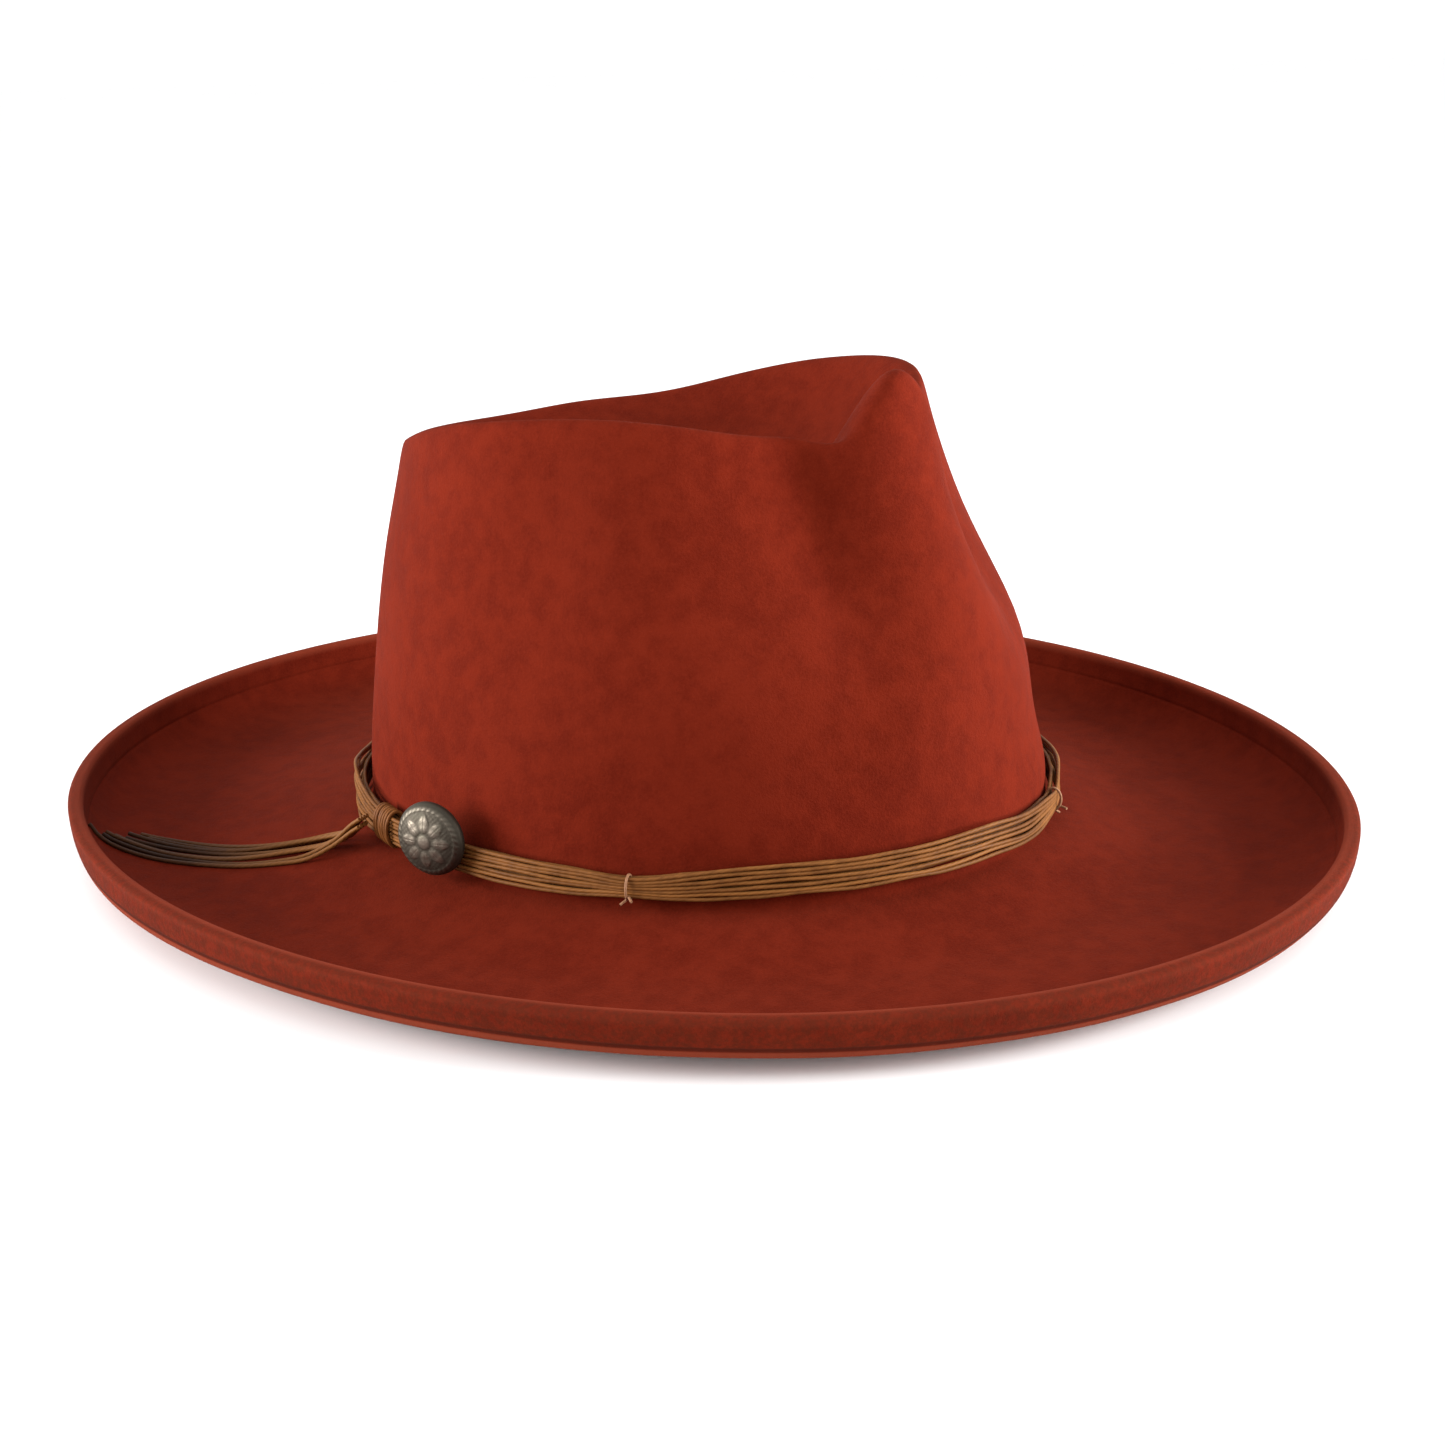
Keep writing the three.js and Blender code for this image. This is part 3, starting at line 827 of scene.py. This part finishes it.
def sleeveLine(degrees, outReach, upReach, rise, turns, pitch, start):  # a winding round the bundle
    steps = 40
    place, out, along = onBundle(degrees, 0, rise)
    line = []
    for i in range(int(turns * steps) + 1):
        turn = start + 2 * math.pi * i / steps
        line.append(place + out * outReach * math.cos(turn)
                    + Vector((0, 0, upReach * math.sin(turn)))
                    + along * pitch * (i / steps - turns / 2))
    return line, out, along


wraps = {
    "turns": 1.1,
    "start": -0.42 * math.pi,
    # The cut ends stick out below the bundle: out of the felt, along the band, and up.
    "head": (0.35, -0.55, -0.42),
    "tail": (0.75, 0.45, -0.10),
    "endSteps": (1, 2, 3),
}


def makeWraps():
    margin = cord["clearance"] + cord["threadDiameter"] / 2
    for number, degrees in enumerate(cord["wrapAngles"], 1):
        upReach = cord["bundleWidth"] / 2 * bandSpread(degrees) + margin
        line, out, along = sleeveLine(degrees, cord["bundleThickness"] / 2 + margin, upReach, 0,
                                      wraps["turns"], cord["threadDiameter"], wraps["start"])
        side = 1 if number % 2 else -1

        def cutEnd(place, lean):
            outLean, alongLean, upLean = lean
            step = out * outLean + along * alongLean * side + Vector((0, 0, upLean))
            return [place + step * count for count in wraps["endSteps"]]

        line = cutEnd(line[0], wraps["head"])[::-1] + line + cutEnd(line[-1], wraps["tail"])
        made = wound(f"wrapThread_{number}", line, cordFinishes["wrapThread"],
                     Diameter=cord["threadDiameter"] * mm, Seed=number)
        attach(made, "root")
        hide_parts(f"band_wrap_{number}")


coil = {
    "turns": 7,
    "rise": 0.2,
    "width": 11.5,
    "start": 1.1 * math.pi,
    "drawnShare": 0.8,  # of the coil's diameter, so that its turns show apart
    "wobbleOut": 0.12,
    "wobbleAlong": 0.1,
    "seed": 9,
}


def makeCoil():
    reach = cord["bundleThickness"] / 2 + 2 * cord["clearance"] + cord["coilDiameter"] / 2
    upReach = coil["width"] / 2 - cord["coilDiameter"] / 2
    line, out, along = sleeveLine(cord["knotAngle"], reach, upReach, coil["rise"], coil["turns"],
                                  cord["coilDiameter"], coil["start"])
    line = [place + out * coil["wobbleOut"] * math.sin(i / 9.0)
            + along * coil["wobbleAlong"] * math.sin(i / 14.0 + 1) for i, place in enumerate(line)]
    made = wound("knotCoil", line, cordFinishes["knotCord"],
                 Diameter=coil["drawnShare"] * cord["coilDiameter"] * mm, Seed=coil["seed"])
    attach(made, "root")
    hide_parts("knot_coil")


makeWraps()
makeCoil()
print("wraps and knot tied")


# The tails: loose strands out of the knot and back over the brim.
tails = {
    "diameter": 1.2,
    "points": 36,
    "seed": 11,
    # One row for each strand: its place across the fan, the share of the route at which it is cut,
    # and the layer that it lies in.
    "strands": [
        (-1.0, 0.97, 0), (-0.72, 0.93, 0), (-0.45, 1.0, 1), (-0.2, 0.98, 0), (0.12, 1.02, 0),
        (0.38, 1.04, 1), (0.66, 1.03, 0), (1.0, 1.05, 0),
    ],
    "route": [
        (-94.8, 36.8, 15.8), (-95.4, 38.8, 14.4), (-96.0, 41.2, 12.7), (-96.6, 43.9, 11.1),
        (-97.4, 47.0, 10.0), (-98.7, 50.4, 9.2), (-100.6, 53.9, 8.6), (-102.9, 57.4, 7.9),
        (-105.4, 61.0, 7.2), (-108.1, 65.1, 6.4), (-110.9, 69.8, 5.7), (-113.7, 75.0, 5.2),
        (-116.3, 80.6, 4.9), (-118.7, 86.6, 4.8), (-120.7, 92.8, 4.9), (-122.3, 99.2, 5.2),
        (-123.7, 105.0, 5.9), (-124.9, 109.4, 7.1),
    ],
    # Shares of the route: where the fan starts to open and to lie down, and how long each takes.
    "fanStart": 0.04,
    "fanShare": 0.32,
    "settleStart": 0.06,
    "settleShare": 0.34,
    "tightReach": 2.3,
    "fanReach": 7.0,
    "sway": 0.75,
    "gap": 0.05,  # between a strand and the felt
    "tiers": (-0.9, 1.1),  # heights in the knot, of the even strands and the odd ones
    "layerHeight": 1.8,
    "layerSink": 0.6,
}


def routeAt(share):  # a smooth curve through the route, and straight on beyond its end
    route = [Vector(place) for place in tails["route"]]
    last = len(route) - 1
    past = max(share - 1, 0) * last
    spots = min(share, 1) * last
    at = min(int(spots), last - 1)
    t = spots - at
    before, start, end, after = (route[min(max(at + i, 0), last)] for i in (-1, 0, 1, 2))
    curved = 0.5 * (2 * start + (end - before) * t
                    + (2 * before - 5 * start + 4 * end - after) * t * t
                    + (3 * start - before - 3 * end + after) * t ** 3)
    return curved + (route[-1] - route[-2]) * past


def feltHeight(x, y):  # by a ray down onto the brim from above it
    hit = feltTree.ray_cast(Vector((x, y, 40)) * mm, -upward)
    return hit[0].z / mm


def makeTails():
    chance = random.Random(tails["seed"])
    radius = tails["diameter"] / 2
    tight, opening = tails["tightReach"], tails["fanReach"] - tails["tightReach"]
    for number, (across, reach, layer) in enumerate(tails["strands"], 1):
        phase, sway, rate = chance.uniform(0, 6.28), chance.uniform(0.6, 1.0), chance.uniform(7, 11)
        line = []
        for i in range(tails["points"]):
            share = reach * i / (tails["points"] - 1)
            middle = routeAt(share)
            ahead = routeAt(share + 0.01) - routeAt(max(share - 0.01, 0))
            sideways = Vector((-ahead.y, ahead.x, 0)).normalized()
            opened = eased((share - tails["fanStart"]) / tails["fanShare"])
            drift = tails["sway"] * sway * math.sin(rate * share + phase) * opened
            place = middle + sideways * (across * (tight + opening * opened) + drift)
            ground = feltHeight(place.x, place.y) + radius + tails["gap"]
            bundled = middle.z + tails["tiers"][number % 2]
            thinner = 1 - tails["layerSink"] * share
            lying = ground + layer * radius * tails["layerHeight"] * thinner
            settle = eased((share - tails["settleStart"]) / tails["settleShare"])
            place.z = max(bundled * (1 - settle) + lying * settle, ground)
            line.append(place)
        made = wound(f"tailStrand_{number}", line, cordFinishes["tailCord"],
                     Diameter=tails["diameter"] * mm, Seed=20 + number)
        length = sum((b - a).length for a, b in zip(line, line[1:])) * mm
        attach(made, "root")
        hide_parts("tail_bundle")
        line[0] * mm
        [place * mm for place in line]


makeTails()
print("tails laid")


# The button: a domed disc with a rope border and a plain rosette.
button = {
    "diameter": 20,
    "dome": 5,
    "edge": 1.2,
    "rise": 5.8,
    "shankDiameter": 9,
    "shankLength": 2.6,
    "shankBevel": 0.3,
    "shankFlare": 0.4,
    # The back's rounded edge: from the rim inward, and up from the back.
    "backRows": [(-0.9, 0), (-0.25, 0.15), (0, 0.6)],
    "angle": 93,
    "turn": 17,  # its face is turned a little towards the front
    "sides": 168,
    "rings": 46,
    "ringCrowding": 0.8,
    "domeSink": 0.45,  # the dome lies this much lower, and the relief stands on it
    "relief": 0.24,
    "reliefFade": 0.5,
    "plain": 0.25,  # how bright the back, the edge and the shank are, as a relief
    "shankPlain": 0.2,
}

motif = {
    "petals": 8,
    "petalStart": 2.3,
    "petalStartFade": 0.8,
    "petalEnd": 7.6,
    "petalEndFade": 0.7,
    "petalNotch": 0.28,  # how much shorter the rosette is between its petals
    "veinWidth": 0.28,
    "bossRadius": 2.0,
    "ropeRadius": 8.75,
    "ropeReach": 0.62,
    "ropeTurns": 34,
    "ropeSlant": 2.6,
    "ropeDip": 0.26,
    "hatchFrom": 2.2,
    "hatchTo": 7.9,
    "hatchHeight": 0.16,
    "hatchRate": 4.62,
}


def reliefAt(radius, turn):
    dip = motif["ropeDip"]
    twist = 1 - dip + dip * math.sin(motif["ropeTurns"] * turn + motif["ropeSlant"] * radius)
    rope = bell(radius - motif["ropeRadius"], motif["ropeReach"], 4) * twist
    halfTurn = motif["petals"] * turn / 2
    petal = math.cos(halfTurn) ** 2
    end = motif["petalEnd"] * (1 - motif["petalNotch"] + motif["petalNotch"] * petal)
    inPetals = (clamped((radius - motif["petalStart"]) / motif["petalStartFade"])
                * clamped((end - radius) / motif["petalEndFade"]))
    leaf = inPetals * (0.35 + 0.65 * petal ** 0.6) * (0.88 + 0.12 * math.cos(3.2 * radius))
    aside = math.sin(halfTurn) * radius / motif["veinWidth"]
    vein = inPetals * math.exp(-(aside ** 2) / 2)
    boss = math.sqrt(max(1 - (radius / motif["bossRadius"]) ** 2, 0))
    ground = 0
    if motif["hatchFrom"] < radius < motif["hatchTo"]:
        rate = motif["hatchRate"] * radius
        hatch = math.sin(rate * math.cos(turn)) * math.sin(rate * math.sin(turn))
        ground = motif["hatchHeight"] * hatch * (1 - inPetals)
    return max(rope, leaf * 0.85 - 0.25 * vein * leaf, boss * 0.9) + ground


def makeButton(material):
    sides, rings = button["sides"], button["rings"]
    radius, shank = button["diameter"] / 2, button["shankDiameter"] / 2
    length, bevel = button["shankLength"], button["shankBevel"]
    back = cord["bundleThickness"] / 2 + 2 * cord["clearance"] + length
    seat, out, _ = onBundle(button["angle"], back, button["rise"])
    out = Matrix.Rotation(math.radians(button["turn"]), 3, "Z") @ out
    along = upward.cross(out)
    # Rings from the shank's end over the back and the edge. On the dome the height follows.
    profile = [(shank - bevel, -length), (shank, -length + bevel), (shank, -bevel),
               (shank + button["shankFlare"], 0)]
    profile += [(radius + outward, up) for outward, up in button["backRows"]]
    for i in range(1, rings + 1):
        turn = math.pi / 2 * (i / (rings + 1)) ** button["ringCrowding"]
        profile.append((radius * math.cos(turn), None))
    points = [seat - out * length]
    relief, toRim = [button["shankPlain"]], [1.0]
    crown = button["dome"] - button["edge"] - button["domeSink"]
    for ringRadius, height in profile:
        share = ringRadius / radius
        dome = button["edge"] + crown * math.sqrt(max(1 - share ** 2, 0))
        fade = min((radius - ringRadius) / button["reliefFade"], 1)
        for j in range(sides):
            turn = 2 * math.pi * j / sides
            level, raised = height, button["plain"]
            if height is None:
                raised = reliefAt(ringRadius, turn)
                level = dome + button["relief"] * raised * fade
            aside = (along * math.cos(turn) + upward * math.sin(turn)) * ringRadius
            points.append(seat + out * level + aside)
            relief.append(raised)
            toRim.append(share if height is None else 1.0)
    middle = reliefAt(0, 0)
    points.append(seat + out * (button["dome"] - button["domeSink"] + button["relief"] * middle))
    relief.append(middle)
    toRim.append(0.0)
    last = 1 + (len(profile) - 1) * sides
    faces = [(0, 1 + j, 1 + (j + 1) % sides) for j in range(sides)]
    for start in range(1, last, sides):
        faces += [face[::-1] for face in ringFaces(start, start + sides, sides)]
    faces += [(len(points) - 1, last + (j + 1) % sides, last + j) for j in range(sides)]
    made = meshObject("hatButton", [place * mm for place in points], faces, material)
    addValues(made, "relief", relief)
    addValues(made, "toRim", toRim)
    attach(made, "root")
    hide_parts("button")


pewterLooks = {
    "dark": (0.074, 0.062, 0.047),
    "bright": (0.22, 0.185, 0.145),
    "patina": (0.088, 0.082, 0.058),
    "patinaShare": 0.6,
    # painted shade: the dome darkens towards its rim, so its middle looks lit
    "rim": (0.056, 0.048, 0.036),
    "rimShare": 0.75,
    "roughness": 0.54,
    "polish": 0.16,  # how much smoother the raised parts are
}


def pewterFinish():
    looks = pewterLooks
    metal = Finish("darkPewter", Metallic=0.9, Specular_IOR_Level=0.5)
    patch = metal.noise(260, 4, 0.6)
    bright = metal.stepped(metal.attribute("relief") + (patch - 0.5) * 0.5, 0.15, 0.95)
    tone = metal.mixed(bright, rgba(looks["dark"]), rgba(looks["bright"]))
    patina = metal.stepped(patch, 0.48, 0.72) * looks["patinaShare"]
    tone = metal.mixed(patina, tone, rgba(looks["patina"]))
    # painted shade towards the dome's rim
    shaded = metal.stepped(metal.attribute("toRim") + (patch - 0.5) * 0.3, 0.45, 0.95)
    tone = metal.mixed(shaded * looks["rimShare"], tone, rgba(looks["rim"]))
    pitted = metal.bump(metal.noise(1800, 3), 0.4, 0.00012)
    dull = looks["roughness"] - bright * looks["polish"] + patch * 0.1
    return metal.wear(Base_Color=tone, Normal=pitted, Roughness=dull)


makeButton(pewterFinish())
print("button set")


floorLooks = {
    "reach": 40,
    "height": -0.0002,  # just under the hat
    "shade": (0.985, 0.985, 0.985),
    "roughness": 0.9,
}


def makeFloor():
    reach, height = floorLooks["reach"], floorLooks["height"]
    plain = Finish("paleFloor", Roughness=floorLooks["roughness"],
                   Base_Color=rgba(floorLooks["shade"]))
    corners = [(x * reach, y * reach, height) for x, y in ((-1, -1), (1, -1), (1, 1), (-1, 1))]
    floor = meshObject("floor", corners, [(0, 1, 2, 3)], plain.material, False)


makeFloor()
